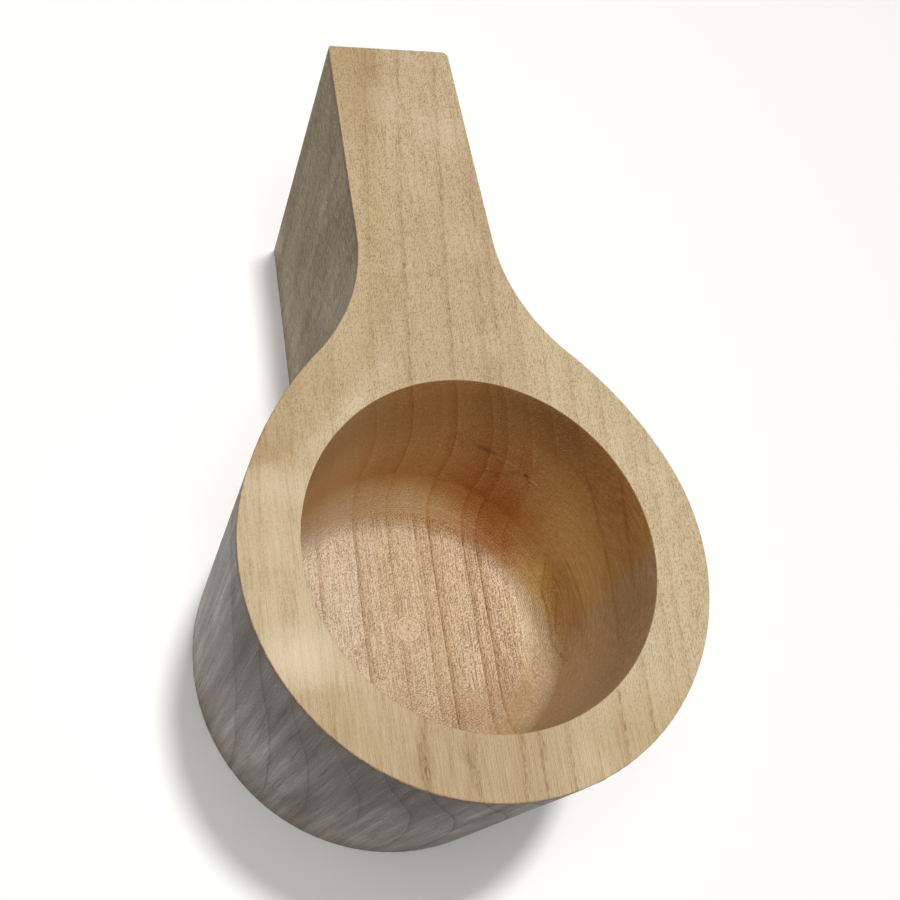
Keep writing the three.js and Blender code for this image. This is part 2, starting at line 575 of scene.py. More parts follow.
def surface(finish, colour, roughness, height, specular):
    """Ends a finish: a Principled shader with bump from a height in millimetres."""
    bump = finish.node("ShaderNodeBump", None, {"Height": height, "Distance": MM, "Strength": 1.0})
    sockets = {"Base Color": colour, "Roughness": roughness, "Normal": bump, "Specular IOR Level": specular}
    shader = finish.node("ShaderNodeBsdfPrincipled", None, sockets)
    finish.node("ShaderNodeOutputMaterial", None, {"Surface": shader})
    return finish.owner


# %% [markdown]
# ## Timber
# All faces are cut from one log, so one function holds the growth rings for every finish, in solid space.
# The rings are shallow bowls seen edge on: on the top and the floor they run along the handle, and on the
# walls they arch. Each ring starts with a thin dark line and pales away from it. The lines do not show
# equally on every face, so each has three strengths: on the top, on the floor of the bowl, and on the
# upright faces.

# %% Growth rings and fibre
RING_SPAN = 40
RING_LEVEL = 26
RING_DRIFT = 1.4
RING_BOW = 0.46
RING_ARCH = 9.41
RING_ARCH_SIDE = 6.74
RING_SLANT = 2.97
RING_TWIST = 2.44
RING_FAN = 0.54
RING_FIRST, RING_LAST = 70, -70
WIDEST_RING = 12
TOP, FLOOR, UPRIGHT = range(3)
GROWTH_LINES = {
    58: (0.5, 0.4, 0.4), 50: (0.5, 0.4, 0.5), 41.5: (0.5, 0.4, 0.6), 35.8: (0.5, 0.5, 0.7),
    28.9: (0.5, 0.5, 0.4), 19.7: (0.5, 0.5, 0.35), 10.3: (0.5, 1.0, 0.85), 5.4: (0.1, 0.15, 0.2),
    1.8: (0.85, 0.5, 1.0), -5: (0.1, 0.4, 0.2), -8.5: (0.7, 1.0, 1.0), -16.9: (0.7, 0.7, 0.9),
    -20.2: (0.6, 1.0, 0.7), -25.9: (0.5, 0.4, 0.5), -31.5: (0.4, 0.4, 0.5), -38.1: (1.0, 0.5, 0.6),
    -45: (0.8, 0.5, 1.0), -52: (0.8, 0.5, 0.6), -55.4: (0.7, 0.4, 0.4), -60: (0.5, 0.4, 0.4),
}
HEART_PLACE = -8
HEART_FROM, HEART_TO = 10, 26
BACK_BEND = 3.3
WAVE_SIZE = (45, 9, 12)
RIPPLE_SIZE = (14, 2.5, 3)
STREAK_SIZE = (30, 0.9, 0.9)
FLECK_SIZE = (0.6, 0.24, 0.24)
GRIT_SIZE = (0.22, 0.16, 0.16)
DASH_SIZE = (1.3, 0.4, 0.4)


def timber(finish):
    """Wires for the place in millimetres, the growth rings and the fibre, shared by every finish."""
    metres = finish.node("ShaderNodeTexCoord", output="Object")
    place = finish.node("ShaderNodeVectorMath", {"operation": "SCALE"}, {0: metres, "Scale": 1 / MM})
    x, y, z = [finish.node("ShaderNodeSeparateXYZ", None, {0: place}, output=axis) for axis in "XYZ"]
    normal = finish.node("ShaderNodeTexCoord", output="Normal")
    upward = finish.node("ShaderNodeSeparateXYZ", None, {0: normal}, output="Z")

    ahead = x / RING_SPAN
    aside = y / RING_SPAN
    rise = (z - RING_LEVEL) / RING_SPAN
    drift = ahead * (RING_DRIFT + RING_BOW * ahead + RING_TWIST * rise + RING_FAN * aside)
    arch = rise * rise * (RING_ARCH_SIDE * aside - RING_ARCH) - RING_SLANT * aside * rise
    back_bend = soft_step(0 - x, 5, 40) * soft_step(y, -12, 14) * soft_step(z, 50, 72) * BACK_BEND
    waver = marks(place, WAVE_SIZE, 2) * 0.8 + marks(place, RIPPLE_SIZE, 1) * 0.3
    ring_place = y + drift + arch + waver - back_bend

    length = RING_FIRST - RING_LAST
    along = (RING_FIRST - ring_place) / length
    starts = [(RING_FIRST - line) / length for line in GROWTH_LINES]
    count = len(starts)
    ends = starts[1:] + [1]
    numbers = [(start, index / count) for index, start in enumerate(starts)]
    widths = [(start, (end - start) * length / WIDEST_RING) for start, end in zip(starts, ends)]
    number = ramp(along, numbers) * count
    phase = number.math("FRACT", number)
    width = ramp(along, widths, "CONSTANT") * WIDEST_RING

    def strength(face):
        return ramp(along, [(start, shown[face]) for start, shown in zip(starts, GROWTH_LINES.values())])

    return SimpleNamespace(
        place=place, x=x, y=y, z=z, upward=upward, strength=strength,
        after=phase * width, before=(1 - phase) * width,
        heart=1 - soft_step(abs(ring_place - HEART_PLACE), HEART_FROM, HEART_TO),
        streak=marks(place, STREAK_SIZE, 3, 0.6),
        fleck=relief(place, FLECK_SIZE),
        grit=relief(place, GRIT_SIZE),
        dash=soft_step(marks(place, DASH_SIZE, 1), -0.05, 0.15),
    )


# %% [markdown]
# ## Planed top
# The top was planed and then handled. Its growth lines are chains of short dark dashes, dark strokes of
# lifted fibre lie along the grain, and where the grain dips, pale bands of painted sheen cross it. At the
# back of the bowl the lines are stronger and the fibre is calmer. Towards both sides the wood is younger,
# paler and less red, but the handle's left edge is darker, most of all at the sawn end. The broken edge
# is browner. A picture of wood could be laid over the top, but its lines would stop at the edges, so the
# finish is summed from the growth rings and from noise.

# %% Planed top sizes and colours
TOP_HEART = srgb(179, 156, 123)
TOP_SAP = srgb(192, 173, 141)
# Colour of the bands of painted sheen
TOP_SHEEN_PALE = srgb(228, 212, 186)
TOP_DARK = srgb(118, 90, 58)
EDGE_BROWN = srgb(140, 110, 76)
RIM_MM = rim_level / MM
FIGURE_SIZE = (13, 30, 30)
PORE_SIZE = (1.6, 0.24, 0.24)
TOP_THREAD_SIZE = (7, 0.2, 0.2)
TOP_STREAK_SIZE = (12, 0.7, 0.7)
TOP_SHADY_PLACE = (-37, -20, RIM_MM)
TOP_SHADY_SIZE = (12, 15, 12)

# Each band of painted sheen or stain has a place, then a length, a width and a strength
TOP_SHEEN_BANDS = {
    (-17.5, 37.5): (8, 11, 0.45),
    (3, 38): (8, 9, 0.15),
    (13.5, 38): (6, 9, 0.2),
    (42, -9): (5, 7, 0.12),
    (68, -8): (9, 10, 0.15),
    (83, 0): (12, 9, 0.1),
    (97, -9): (9, 10, 0.22),
    (103, 3): (10, 9, 0.2),
}
TOP_STAINS = {
    (-38, 19): (9, 1.8, 0.25),
    (-39, 11): (8, 1.6, 0.2),
    (-39, -3): (7, 1.4, 0.1),
}


# %% Broad tones of the top
def left_edge(wood):
    """Darkness along the left edge of the shoulder and the handle, most of all at the sawn end."""
    bend = wood.x.math("MAXIMUM", (60 - wood.x) / 38, 0)
    far = soft_step(wood.x, 75, 115)
    inward = wood.y - bend * bend * 23 + far * 6
    shown = soft_step(inward, 6, 12.5) * soft_step(wood.x, 16.5, 20)
    return shown * (0.18 + 0.12 * bend + 0.26 * far)


def top_tone(wood):
    """Broad darkness: at the back of the bowl, on the left, and paler towards the sawn end."""
    tone = 0.12 * (1 - soft_step(wood.x, -46, -5)) - 0.08 * soft_step(wood.x, 55, 118)
    tone = tone + 0.15 * soft_step(wood.y, 15, 40)
    behind_band = (1 - soft_step(wood.x, -25, -22)) * soft_step(wood.x, -40, -33)
    tone = tone + 0.17 * soft_step(wood.y, 24, 32) * behind_band
    return tone + left_edge(wood) + nearness(wood.place, TOP_SHADY_PLACE, TOP_SHADY_SIZE) * 0.1


# %% Planed top finish
def lay_spots(wood, colour, spots, frayed, over):
    """Lays spots of another colour on the top, frayed by noise."""
    for (x, y), (length, width, strength) in spots.items():
        spot = nearness(wood.place, (x, y, RIM_MM), (length, width, length))
        colour = blend(spot * (strength + frayed), colour, over)
    return colour


def planed_top():
    finish = Finish(bpy.data.materials.new("planed_top"))
    wood = timber(finish)
    figure = marks(wood.place, FIGURE_SIZE, 1)
    back = 1 - soft_step(wood.x, -40, -26)
    left_rim = soft_step(wood.y, 12, 26) * (1 - soft_step(wood.x, 12, 30))
    calm = back.math("MAXIMUM", left_rim, back)
    crisp = 0.4 + 0.45 * soft_step(wood.x, -44, -12) + 0.15 * soft_step(0 - wood.y, -20, 30)
    crisp = crisp + 0.15 * soft_step(wood.x, 45, 70)

    thread = relief(wood.place, TOP_THREAD_SIZE) * 0.5 + relief(wood.place, TOP_STREAK_SIZE) * 0.25 * calm
    strokes = (wood.fleck + wood.grit) * (1.1 - 0.5 * calm) * crisp + thread
    strokes = strokes.math("MINIMUM", strokes, 0.1) + 0.05
    fibre = strokes * 0.65 + wood.streak * (0.2 - 0.1 * calm) + figure * 0.2
    pore = soft_step(marks(wood.place, PORE_SIZE, 0), 0.16, 0.26) * crisp
    line = fade(wood.after, 0.35) + fade(wood.before, 0.5)
    ringed = wood.strength(TOP) * (line * (0.06 + 0.45 * wood.dash) + 0.14 * fade(wood.before, 3))
    darkness = ringed * (1 + 0.6 * back) + pore * 0.2 + top_tone(wood) - fibre

    colour = deepen(blend(wood.heart, TOP_SAP, TOP_HEART), darkness)
    colour = brighten(colour, 1 + strokes * 0.25)
    # Painted sheen: pale bands where the lamp's sheen falls on the top
    colour = lay_spots(wood, colour, TOP_SHEEN_BANDS, wood.streak * 0.5, TOP_SHEEN_PALE)
    colour = lay_spots(wood, colour, TOP_STAINS, wood.dash * 0.4, TOP_DARK)
    edge = 1 - soft_step(wood.upward, 0.35, 0.97)
    colour = blend(edge * 0.6, colour, EDGE_BROWN)

    roughness = 0.55 + wood.fleck * 0.3 - figure * 0.2
    height = wood.fleck * 0.05 + wood.grit * 0.02 + figure * 0.2
    return surface(finish, colour, roughness, height, specular=0.4)


# %% [markdown]
# ## Bored bowl
# Inside, the cutter has scraped the fibre. The floor has short dark strokes along the grain, and fine
# wrinkles across it at the near side. The growth lines are strong, and rings of the cutter fill the
# corner. Where the light from over the rim does not fall, the bowl looks warmer than thrown-back light
# alone makes it. A second lamp could warm the walls, but it would warm the top too, so the colour itself
# is warmer there: the bowl has a lit and a shaded copy of its colour, and the warm one is painted shade.
# Painted shade also darkens the walls under the rim and the near edge of the lit floor, and painted light
# pales the faces turned up in the shade and lays a pale streak on the lit corner at the right.

# %% Bored bowl sizes and colours
LIGHT_FROM = Vector((0.183, -0.057, 1))
SHADOW_SOFTNESS = 0.075
CUTTER_STEP = 0.45
BORE_MM = BORE_RADIUS / MM
LIT_HEART = srgb(191, 167, 136)
LIT_SAP = srgb(203, 184, 158)
SHADE_HEART = srgb(211, 167, 106)
SHADE_SAP = srgb(229, 197, 146)
SHADE_GOLD = srgb(222, 186, 118)
# A darker tan, painted shade on the lit corner at the near right
CORNER_SHADE_TAN = srgb(184, 154, 110)
# Painted shade at the top of the far right wall
WALL_TOP_SHADE = srgb(96, 72, 50)
# Colour of a painted highlight on the lit corner at the right
CREAM_LIGHT = srgb(226, 208, 174)
GLINT_SIZE = (0.5, 0.18, 0.18)
THREAD_SIZE = (7, 0.24, 0.24)
WRINKLE_SIZE = (0.17, 0.5, 0.3)
SLIVER_SIZE = (4, 0.5, 0.7)
CREAM_LIGHT_PLACE = (-3, -27, 19.5)
CREAM_LIGHT_SIZE = (15, 3.6, 4)
DARK_CORNER = (20.5, -24, 21)
DARK_CORNER_SIZE = (9, 7, 7)
DARK_FLOOR = {(-20, -11.5, 19): 7, (-16.7, -22.5, 19): 6, (-6, 11, 19): 5}


# %% Light, zones and cutter rings of the bowl
def from_axis(wood):
    """Distance from the axis of the bowl, in millimetres."""
    return (wood.x * wood.x + wood.y * wood.y) ** 0.5


def shaded(wood):
    """0 where the light from over the rim falls in the bowl and 1 where it does not."""
    depth = RIM_MM - wood.z
    ahead = wood.x + depth * LIGHT_FROM.x
    aside = wood.y + depth * LIGHT_FROM.y
    beyond = (ahead * ahead + aside * aside) ** 0.5 - BORE_MM
    return soft_step(beyond / depth, 0, SHADOW_SOFTNESS)


def bowl_zones(wood):
    """Masks for how a place in the bowl faces, which side it is on and whether it lies in shade."""
    torn = soft_step(wood.upward, 0.01, 0.1)
    flat = soft_step(wood.upward, 0.94, 0.998)
    shade = shaded(wood)
    return SimpleNamespace(
        torn=torn, wall=1 - torn, flat=flat, corner=torn - flat,
        # Painted shade: every wall takes some of the shaded colour
        shade=shade.math("MAXIMUM", shade, (1 - soft_step(wood.upward, 0, 0.3)) * 0.3),
        far=soft_step(wood.x, 0, 15), near=1 - soft_step(wood.x, -22, -6),
        left=soft_step(wood.y, -6, 14), right=soft_step(0 - wood.y, 4, 24),
        right_wall=soft_step(0 - wood.y, 24, 31),
    )


def cutter_rings(wood):
    """Fine rings about the bowl's axis, evenly spaced along its corner and a little unsteady."""
    radius = from_axis(wood)
    fillet = BORE_FILLET / MM
    turn = radius.math("ARCTAN2", wall_foot / MM - wood.z, radius - (BORE_MM - fillet))
    sockets = {"X": turn * fillet, "Y": wood.x * 0.03, "Z": wood.y * 0.03}
    path = radius.finish.node("ShaderNodeCombineXYZ", None, sockets)
    steps = turn * (fillet * math.tau / CUTTER_STEP) + marks(path, (1.5, 1, 1), 1) * 9
    groove = radius.math("SINE", steps) * 0.24 + marks(path, (0.26, 1, 1), 0) * 0.5
    shown = 0.9 * soft_step(wood.upward, 0.01, 0.1) * soft_step(radius, 20, 30)
    shown = shown * (0.25 + 0.75 * soft_step(wood.x, -15, 10))
    return groove.math("MINIMUM", groove, 0.15) * (0.12 + shown)


# %% Fibre, lines and tones of the bowl
def floor_strokes(wood, zone):
    """Dark strokes of torn fibre on the floor, with wrinkles across the grain at its near side."""
    along_grain = relief(wood.place, GLINT_SIZE) * (2.0 + 1.2 * zone.right)
    along_grain = along_grain + relief(wood.place, THREAD_SIZE) * (1.0 + 0.9 * zone.right)
    wrinkle = relief(wood.place, WRINKLE_SIZE, 0.4) * (0.9 + 1.9 * zone.near) * (1 - 0.7 * zone.right)
    rough = along_grain * (1 - 0.8 * zone.near) + wrinkle
    rough = rough.math("MAXIMUM", rough, -0.85)
    rough = rough.math("MINIMUM", rough, 0.2 + 0.15 * zone.right)
    return rough * (1 - 0.6 * zone.corner) * zone.torn


def bowl_fibre(wood, zone, strokes):
    """How much paler the fibre makes each place."""
    fleck = (wood.fleck + wood.grit) * (1.1 - 0.6 * zone.torn - 0.5 * zone.right_wall * zone.wall)
    sliver = relief(wood.place, SLIVER_SIZE) * zone.right_wall * zone.wall * 0.45
    streak = wood.streak * (0.35 + 0.5 * zone.right * zone.wall)
    return strokes * 0.65 + fleck + sliver + streak


def bowl_lines(wood, zone):
    """Darkness of the growth lines, thin and broken on the floor and broad and soft on the walls."""
    floor_line = fade(wood.after, 0.55) * (0.8 + 0.7 * wood.dash) + 0.2 * fade(wood.after, 3)
    floor_line = floor_line * (1 - 0.65 * zone.corner) * wood.strength(FLOOR)
    wall_line = 0.36 * fade(wood.before, 1.5) - 0.16 * fade(wood.after, 0.7)
    wall_line = wall_line * wood.strength(UPRIGHT) * soft_step(wood.x, -25, 0) * (1 - zone.right_wall)
    return wall_line + zone.torn * (floor_line - wall_line)


def bowl_tone(wood, zone):
    """Broad darkness: under the rim, at the foot of the far wall and in patches of the floor."""
    # Painted shade: the walls are darker towards the rim, less so on the heart, the left and the near right
    shade_under_rim = 0.42 - 0.12 * wood.heart - 0.18 * zone.left - 0.12 * zone.right * (1 - zone.far)
    tone = soft_step(wood.z, 38, 70) * zone.wall * shade_under_rim
    tone = tone + (1 - soft_step(wood.z, 30, 46)) * zone.wall * zone.far * 0.15
    tone = tone + nearness(wood.place, DARK_CORNER, DARK_CORNER_SIZE) * 0.28
    for centre, size in DARK_FLOOR.items():
        tone = tone + nearness(wood.place, centre, (size, size, size)) * 0.2
    radius = from_axis(wood)
    # Painted shade on the lit floor's near edge, where the light falls off towards the wall
    floor_edge = soft_step(radius, 18, 27) * (1 - soft_step(radius, 29, 34.5))
    shaded_near_edge = floor_edge * (1 - zone.far) * (1 - zone.shade)
    # Painted light: faces turned up are paler in the shade, most of all on the left
    lifted = soft_step(wood.upward, 0.1, 0.85) * zone.shade * (0.32 - 0.27 * soft_step(0 - wood.y, 5, 19))
    tone = tone + shaded_near_edge * (0.13 + 0.12 * zone.right) - lifted
    return tone + zone.flat * 0.07 + zone.wall * 0.02


def bowl_wood(wood, zone):
    """Colour of the plain wood, warm in the shade and paler in the light."""
    # The heart, and the shaded top of the right wall, take the deepest shaded colour
    heart_or_shaded_high_right = wood.heart.math("MAXIMUM", wood.heart, zone.right * soft_step(wood.z, 46, 64))
    # Painted shade: the warm copy where the lamp does not reach, the pale lit copy where it does
    warm = blend(heart_or_shaded_high_right, blend(zone.right, SHADE_SAP, SHADE_GOLD), SHADE_HEART)
    colour = blend(zone.shade, blend(wood.heart, LIT_SAP, LIT_HEART), warm)
    # Painted shade: the lit corner at the near right is darker and tanner
    colour = blend(zone.corner * zone.right * (1 - zone.shade) * 0.35, colour, CORNER_SHADE_TAN)
    # Painted shade: the top of the far right wall, under the rim, is darker
    shaded_top_right = soft_step(0 - wood.y, -2, 18) * (1 - 0.7 * soft_step(0 - wood.y, 24, 33))
    shaded_top_right = shaded_top_right * zone.far * soft_step(wood.z, 50, 70)
    return blend(shaded_top_right * 0.33, colour, WALL_TOP_SHADE)


# %% [markdown]
# ## Knot and lines on the right of the bowl
# A knot lies behind the wall on the handle's right. The wood round it is redder far down into the corner,
# fine lines swirl round its eye, and marks of several kinds lie over it. On the right wall the growth
# lines are wide rising curves, and the cutter just touched the ring between two of them, which shows as a
# long lens. The rings of the log do not bend that far, so these curves are drawn one by one.

# %% Knot and line sizes and colours
KNOT_RED = srgb(180, 112, 44)
KNOT_DARK = srgb(100, 50, 12)
SCAR_PALE = srgb(226, 190, 140)
LENS_BROWN = srgb(168, 118, 66)
LINE_BROWN = srgb(132, 82, 36)


def on_wall(degrees, height):
    """A point on the wall of the bowl, in millimetres."""
    angle = math.radians(degrees)
    return (BORE_MM * math.cos(angle), BORE_MM * math.sin(angle), height)


KNOT_PLACE = on_wall(-38, 27)
KNOT_SIZE = (30, 19, 42)
KNOT_FOOT = (17, -25, 22)
KNOT_FOOT_SIZE = (14, 11, 12)
KNOT_EYE = on_wall(-26, 46.8)
KNOT_EYE_SIZE = (16, 16, 11)
SWIRL_STEP = (4, 4, 5)
SWIRL_REACH = (17, 17, 18)
RAGGED_SIZE = (7, 7, 7)
WALL_MARKS = {
    "smudge": (KNOT_EYE, (3.8, 3.8, 1.8), KNOT_DARK, 0.65),
    "ridge": (on_wall(-36, 46.2), (5, 5, 0.7), SCAR_PALE, 0.25),
    "scar": (on_wall(-47, 45.3), (3, 3, 0.8), SCAR_PALE, 0.5),
    "crack": (on_wall(-47.5, 44.5), (3, 3, 0.6), KNOT_DARK, 0.5),
    "pit": (on_wall(-43.5, 45.6), (1.2, 1.2, 1), KNOT_DARK, 1.0),
    "speck": (on_wall(-45, 64.5), (0.7, 0.7, 0.5), KNOT_DARK, 0.6),
}
RIGHT_LINES = {
    "lens_foot": SimpleNamespace(lowest=(-0.8, 22.7), spread=7.8, power=4, reach=(-15, 13), strength=0.5),
    "lens_inside": SimpleNamespace(lowest=(-14, 23), spread=9.3, power=2, reach=(-6, 4), strength=0.4),
    "lens_head": SimpleNamespace(lowest=(14, 36), spread=12.6, power=2, reach=(-10, 9), strength=0.55),
    "middle": SimpleNamespace(lowest=(-2, 52.8), spread=6.9, power=2, reach=(-18, 21), strength=0.4),
    "upper": SimpleNamespace(lowest=(-4, 62.3), spread=6.1, power=2, reach=(-9, 15), strength=0.45),
}


# %% Knot and rising lines
def redden(wood, zone, colour, ragged):
    """Reddens the wood round the knot, round its eye and at its foot."""
    knot = nearness(wood.place, KNOT_PLACE, KNOT_SIZE) * (0.8 + ragged * 0.8)
    # The knot's red is the wood's own, but it is drawn stronger in the shade, which is painted shade, as at
    # its foot
    knot = knot * (0.2 + 0.8 * zone.shade) * (0.4 + 0.6 * soft_step(wood.z, 19, 25))
    colour = blend(knot, colour, KNOT_RED)
    colour = blend(nearness(wood.place, KNOT_EYE, KNOT_EYE_SIZE) * 0.4, colour, KNOT_RED)
    foot = nearness(wood.place, KNOT_FOOT, KNOT_FOOT_SIZE) * (0.55 + ragged * 0.5)
    return blend(foot * zone.shade, colour, KNOT_RED)


def swirl_line(wood, ragged):
    """Lines that run round the knot's eye."""
    swirl = apart(wood.place, KNOT_EYE, SWIRL_STEP) + ragged * 1.5
    line = fade(swirl.math("FRACT", swirl), 0.2) * soft_step(swirl, 1, 1.8)
    return line * nearness(wood.place, KNOT_EYE, SWIRL_REACH)


def above_line(wood, line):
    """How far a place on the right wall lies above a line that rises both ways from its lowest place."""
    middle, low = line.lowest
    return wood.z - low - (abs(wood.x - middle) / line.spread) ** line.power


def along_line(wood, line):
    """1 along the stretch of a line that shows, and 0 past both its ends."""
    start, end = line.reach
    return soft_step(wood.x, start, start + 2) * (1 - soft_step(wood.x, end - 2, end))


def inside_lens(wood):
    """1 between the two lines that close the lens."""
    over_foot = soft_step(above_line(wood, RIGHT_LINES["lens_foot"]), -0.2, 2)
    under_head = 1 - soft_step(above_line(wood, RIGHT_LINES["lens_head"]), -3, 0.5)
    return over_foot * under_head * soft_step(wood.x, -15, -3) * (1 - soft_step(wood.x, 6, 14))


def rising_lines(wood):
    """All lines of the right wall, a little frayed."""
    shown = 0
    for line in RIGHT_LINES.values():
        above = above_line(wood, line) + wood.streak * 0.8
        drawn = fade(abs(above), 0.45) * (0.6 + 0.4 * wood.dash)
        shown = drawn * along_line(wood, line) * line.strength + shown
    return shown


# %% Bored bowl finish
def bored_bowl():
    finish = Finish(bpy.data.materials.new("bored_bowl"))
    wood = timber(finish)
    zone = bowl_zones(wood)
    rings = cutter_rings(wood)
    strokes = floor_strokes(wood, zone)
    ragged = marks(wood.place, RAGGED_SIZE, 2) + wood.streak * 0.4
    right_line = rising_lines(wood) * zone.right_wall * 0.9

    colour = redden(wood, zone, bowl_wood(wood, zone), ragged)
    colour = blend(inside_lens(wood) * zone.right_wall * 0.45, colour, LENS_BROWN)
    # Painted light: a pale streak on the lit corner at the right of the floor
    cream_light = nearness(wood.place, CREAM_LIGHT_PLACE, CREAM_LIGHT_SIZE)
    colour = blend(cream_light * (0.4 + wood.streak), colour, CREAM_LIGHT)
    darkness = bowl_lines(wood, zone) + bowl_tone(wood, zone) - bowl_fibre(wood, zone, strokes) - rings
    darkness = darkness + swirl_line(wood, ragged) * 0.5 + right_line
    colour = brighten(deepen(colour, darkness), 1 + strokes * 0.35)
    colour = blend(right_line, colour, LINE_BROWN)
    for centre, size, shown, strength in WALL_MARKS.values():
        mark = nearness(wood.place, centre, size)
        colour = blend(mark * (strength + wood.streak * 0.5), colour, shown)

    roughness = 0.5 + wood.fleck * 0.3
    height = strokes * 0.02 + wood.fleck * 0.04 + rings * (0.02 + 0.05 * zone.corner)
    return surface(finish, colour, roughness, height, specular=0.4)


# %% [markdown]
# ## Sawn sides
# The sides are drawn a dark grey, and their darkness is painted shade, as the upright sides stand in
# shade. Thin upright scratches from the blade cross the growth rings. The handle is browner, with hairs of
# fibre along it and torn strokes near its top edge. The foot of the block is browner too, and the wood
# stays brown just under the planed edge. Painted shade makes the left of the bowl darker towards its top,
# and painted light makes the feet paler where the block meets the table. Bump alone hardly shows in this
# shade, so the marks are in the colour as well.

# %% Sawn side sizes and colours
# The side colours are darker than the wood: painted shade
SHADED_SIDE_GREY = srgb(125, 119, 112)
SHADED_SIDE_PALE = srgb(149, 143, 137)
SHADED_SIDE_BROWN = srgb(137, 123, 97)
SIDE_EDGE = srgb(106, 82, 58)
HANDLE_FROM, HANDLE_TO = 22, 68
BRUSH_SIZE = (0.3, 0.3, 14)
STRIPE_SIZE = (1.8, 1.8, 40)
CLOUD_SIZE = (14, 14, 30)
SCRATCH_SIZE = (0.35, 0.35, 14)
TORN_SIZE = (3, 0.35, 0.35)
HAIR_SIZE = (2.2, 0.25, 0.25)
DARK_STREAK_AT = -12.5
DARK_SIDE = (-33, 33, 22)
DARK_SIDE_SIZE = (18, 18, 28)


# %% Sawn side finish
def side_tone(wood):
    """Broad darkness: painted shade on the left of the bowl towards its top, and painted light on a paler
    foot.
    """
    shoulder = soft_step(wood.y, 2, 16) * (1 - soft_step(wood.x, -7, 3))
    # Painted shade, deeper towards the top of the bowl's left side, with a dark upright streak
    upper = soft_step(wood.z, 34, 64) * (0.24 + 0.18 * soft_step(wood.x, -38, -30))
    tone = shoulder * (upper + 0.28 * fade(abs(wood.x - DARK_STREAK_AT), 4))
    # Painted light: paler feet where the block meets the table
    lit_foot = soft_step(wood.x, -12, -2) * soft_step(wood.y, 16, 26) * (1 - soft_step(wood.z, 0, 30))
    end_foot = soft_step(wood.x, 64, 86) * soft_step(wood.y, 6, 12) * (1 - soft_step(wood.z, 5, 24))
    tone = tone - 0.16 * lit_foot - 0.24 * end_foot - 0.07 * (1 - soft_step(wood.z, 4, 30))
    tone = tone + 0.05 * soft_step(wood.y, 6, 22) * (1 - soft_step(wood.x, -12, 0))
    tone = tone - 0.06 * soft_step(0 - wood.y, 2, 12) + 0.1 * soft_step(wood.x, 70, 95)
    return tone + 0.12 * nearness(wood.place, DARK_SIDE, DARK_SIDE_SIZE)


def sawn_side():
    finish = Finish(bpy.data.materials.new("sawn_side"))
    wood = timber(finish)
    handle = soft_step(wood.x, HANDLE_FROM, HANDLE_TO)
    brush = marks(wood.place, BRUSH_SIZE, 2, 0.65)
    stripe = marks(wood.place, STRIPE_SIZE, 2)
    cloud = marks(wood.place, CLOUD_SIZE, 2)
    scratch = soft_step(marks(wood.place, SCRATCH_SIZE, 1), 0.16, 0.24)
    saw = brush * (0.8 - 0.45 * handle) + stripe * (0.9 - 0.45 * handle) + cloud * 0.65
    grain = (wood.grit + wood.fleck) * 0.4 + relief(wood.place, HAIR_SIZE) * handle * 0.6
    torn = soft_step(marks(wood.place, TORN_SIZE, 1), 0.1, 0.2) * soft_step(wood.z, 34, 68)
    torn = torn * handle * (1 - soft_step(wood.x, 75, 100))
    line = 0.5 * fade(wood.after, 0.35) + 0.14 * fade(wood.after, 2.5)
    ringed = line * wood.strength(UPRIGHT) * (1 - 0.5 * handle)

    colour = blend(soft_step(wood.y, 25, 46), SHADED_SIDE_GREY, SHADED_SIDE_PALE)
    colour = blend(handle, colour, SHADED_SIDE_BROWN)
    colour = blend((1 - soft_step(wood.z, 2, 28)) * 0.35, colour, SHADED_SIDE_BROWN)
    colour = deepen(colour, ringed + side_tone(wood) + scratch * 0.45 + torn * 0.3 - saw - grain)
    brown = soft_step(wood.z + wood.fleck * 3 + wood.streak * 2, RIM_MM - 1.8, RIM_MM - 0.4)
    colour = blend(brown * 0.8, colour, SIDE_EDGE)

    roughness = 0.7 + brush * 0.3
    height = brush * 0.06 + wood.grit * 0.03 - scratch * 0.03
    return surface(finish, colour, roughness, height, specular=0.3)


# %% [markdown]
# ## Plug finish
# The plug shows end grain, so it has specks where the floor has strokes, and it is a little paler, most
# of all round its edge. The floor's own lines would run over it, so the plug has a finish of its own.

# %% Plug finish
PLUG_PALE = srgb(216, 193, 163)
PLUG_DARK = srgb(160, 132, 100)
PRICK_DARK = srgb(96, 66, 46)
SPECK_SIZE = (0.8, 0.3, 4)
MOTTLE_SIZE = (1.4, 1.0, 6)
PLUG_MM = plug_radius / MM


def plug_end_grain():
    finish = Finish(bpy.data.materials.new("plug_end_grain"))
    wood = timber(finish)
    speck = relief(wood.place, SPECK_SIZE, 1.5) + wood.grit
    mottle = marks(wood.place, MOTTLE_SIZE, 2)
    radius = from_axis(wood)
    edge = soft_step(radius, PLUG_MM - 0.6, PLUG_MM - 0.35)
    colour = blend(soft_step(speck * 0.7 + mottle * 0.6 + edge * 0.2, -0.35, 0.25), PLUG_DARK, PLUG_PALE)
    outline = soft_step(radius, PLUG_MM - 0.22, PLUG_MM - 0.08)
    colour = blend(outline * (0.3 + mottle), colour, PRICK_DARK)
    prick = 1 - soft_step(radius, 0.1, 0.35)
    colour = blend(prick * 0.4, colour, PRICK_DARK)
    roughness = 0.55 + speck * 0.3
    return surface(finish, colour, roughness, speck * 0.05, specular=0.4)


# %% Put the finishes on their faces
RIM_BAND = 0.6 * MM
MOUTH_SLACK = 0.02 * MM
TOP_FACING = 0.3


def finish_number(face):
    """0 for the planed top with its broken edges, 1 for the bored bowl, 2 for the sawn sides."""
    middle = face.center
    inside = middle.to_2d().length < BORE_RADIUS + MOUTH_SLACK
    if inside and middle.z > PLUG_SEAT - LEVEL_SLACK:
        return 1
    if face.normal.z > TOP_FACING and middle.z > rim_level - RIM_BAND:
        return 0
    return 2


